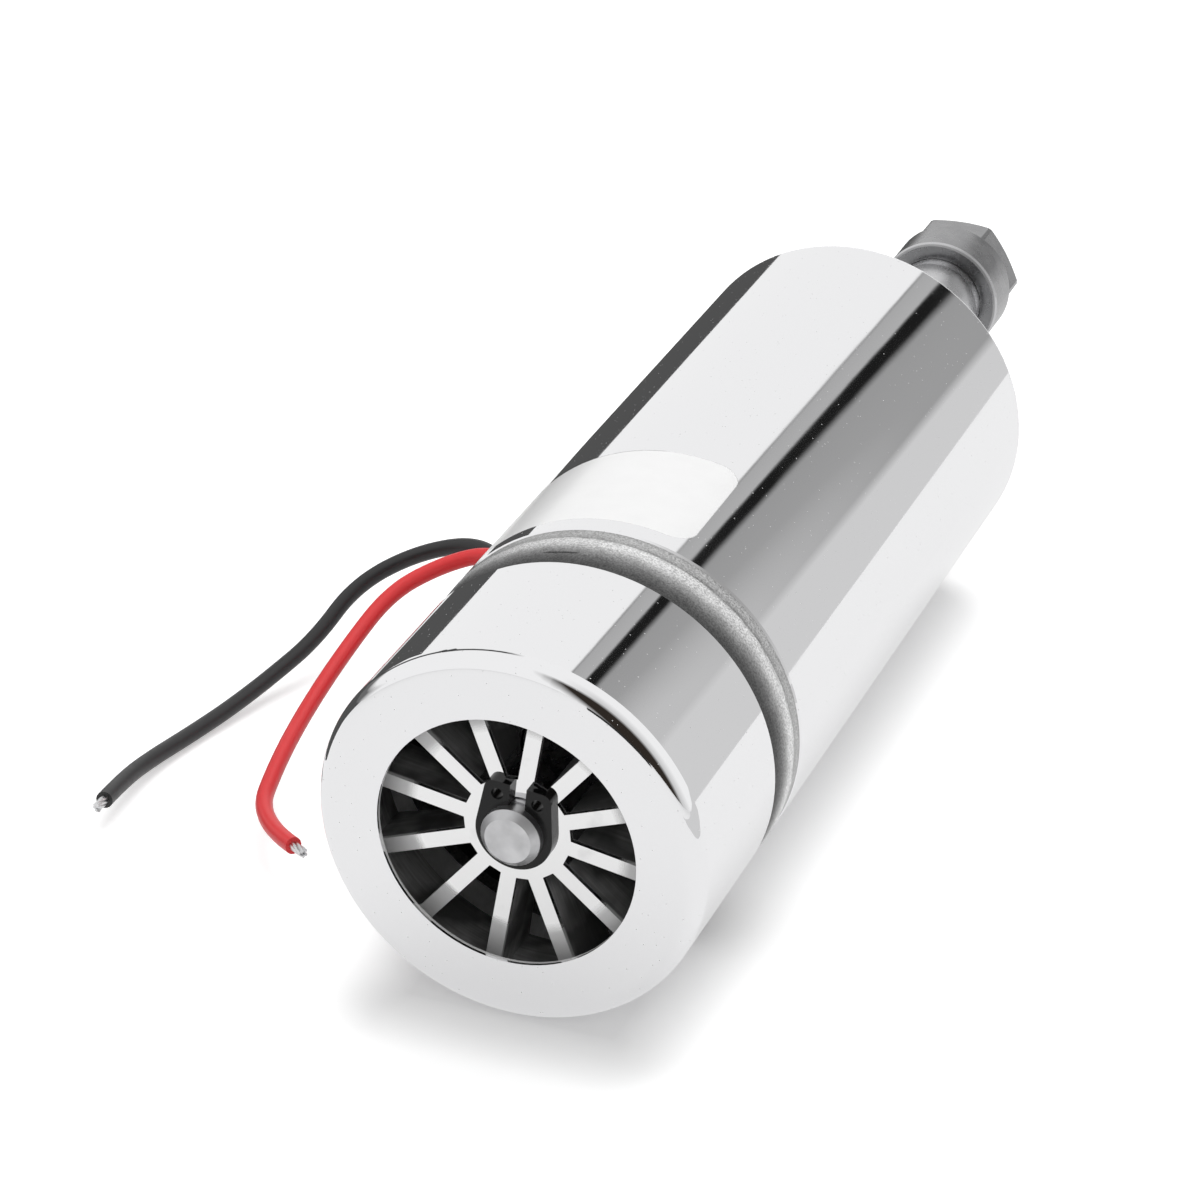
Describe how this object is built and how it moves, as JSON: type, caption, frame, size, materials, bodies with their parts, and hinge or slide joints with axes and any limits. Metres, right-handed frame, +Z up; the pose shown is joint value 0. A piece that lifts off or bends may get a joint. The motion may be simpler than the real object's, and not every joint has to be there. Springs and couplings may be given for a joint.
{
  "type": "motor spindle",
  "caption": "Cylindrical brushed motor spindle: chromed tube, cast ring, vented rear cap over a spoked cooling fan, bevelled collet nut and loose stripped leads.",
  "frame": {"origin": "on the spindle axis, in the plane of the front end plate's face", "axes": "+Y along the spindle from the rear cap to the collet nut, +Z up with the body lying on its side, floor at z = -0.026"},
  "size_m": [0.0974, 0.1896, 0.052],
  "materials": {
    "chromed_steel": "mirror-bright chrome plating",
    "machined_aluminium": "turned face",
    "felt": "dense grey felt",
    "steel": "plain zinc-plated steel",
    "bearing_steel": "ground bearing steel",
    "spring_steel": "spring steel",
    "cast_metal": "rough grey casting, as cast",
    "black_rubber": "soft black rubber",
    "ferrite": "dark ferrite magnet",
    "laminate": "brown insulating laminate",
    "brass": "bright brass",
    "carbon": "matt carbon",
    "lead_insulation_inner": "soft wire insulation",
    "red_insulation": "smooth soft red insulation",
    "black_insulation": "smooth soft black insulation",
    "tinned_wire": "tinned copper strands",
    "ground_steel": "ground steel",
    "lamination_steel": "stacked lamination steel",
    "copper_wire": "varnished copper wire",
    "copper": "turned copper",
    "phenolic": "moulded phenolic",
    "black_steel": "black oxide spring steel",
    "stamped_sheet": "bright stamped sheet",
    "collet_steel": "ground spring steel",
    "dark_steel": "dark oxide over machined steel"
  },
  "bodies": {
    "housing": {"motor_tube": "chromed_steel", "front_plate": "machined_aluminium", "front_seal": "felt", "bearing_retainer": "steel", "retainer_screws": "steel", "front_bearing_outer": "bearing_steel", "second_bearing_outer": "bearing_steel", "rear_bearing_outer": "bearing_steel", "wave_washer": "spring_steel", "rear_bell": "cast_metal", "rear_cap": "chromed_steel", "lead_grommet": "black_rubber", "field_magnets": "ferrite", "magnet_clips": "spring_steel", "tie_bolts": "steel", "brush_card": "laminate", "card_screws": "steel", "brush_holder_left": "brass", "brush_holder_right": "brass", "brush_spring_left": "spring_steel", "brush_spring_right": "spring_steel", "brush_leads": "lead_insulation_inner", "red_lead": "red_insulation", "black_lead": "black_insulation", "red_lead_tip": "tinned_wire", "black_lead_tip": "tinned_wire"},
    "rotor": {"spindle_shaft": "ground_steel", "armature_core": "lamination_steel", "armature_windings": "copper_wire", "commutator": "copper", "commutator_hub": "phenolic", "front_bearing_inner": "bearing_steel", "second_bearing_inner": "bearing_steel", "rear_bearing_inner": "bearing_steel", "bearing_circlip": "black_steel", "fan_spacer": "ground_steel", "cooling_fan": "stamped_sheet", "fan_circlip": "black_steel"},
    "brush_left": {"brush_left": "carbon"},
    "brush_right": {"brush_right": "carbon"},
    "collet": {"collet": "collet_steel"},
    "collet_nut": {"collet_nut": "dark_steel"}
  },
  "joints": [
    {"name": "rotor_spin", "type": "hinge", "parent": "housing", "child": "rotor", "pos_m": [0, 0, 0], "axis": [0, 1, 0], "continuous": true},
    {"name": "collet_slide", "type": "slide", "parent": "rotor", "child": "collet", "axis": [0, 1, 0], "range_m": [0, 0.00281]},
    {"name": "nut_turn", "type": "hinge", "parent": "collet", "child": "collet_nut", "pos_m": [0, 0, 0], "axis": [0, 1, 0], "range_deg": [0, 1350.1]},
    {"name": "brush_left_slide", "type": "slide", "parent": "housing", "child": "brush_left", "axis": [-1, 0, 0], "range_m": [0, 0.002], "stiffness_N_per_m": 100, "springref_m": -0.008, "deforming": ["brush_spring_left"]},
    {"name": "brush_right_slide", "type": "slide", "parent": "housing", "child": "brush_right", "axis": [1, 0, 0], "range_m": [0, 0.002], "stiffness_N_per_m": 100, "springref_m": -0.008, "deforming": ["brush_spring_right"]}
  ],
  "couplings": [
    {"joint": "nut_turn", "follows": "collet_slide", "rad_per_m": 8377.6}
  ]
}
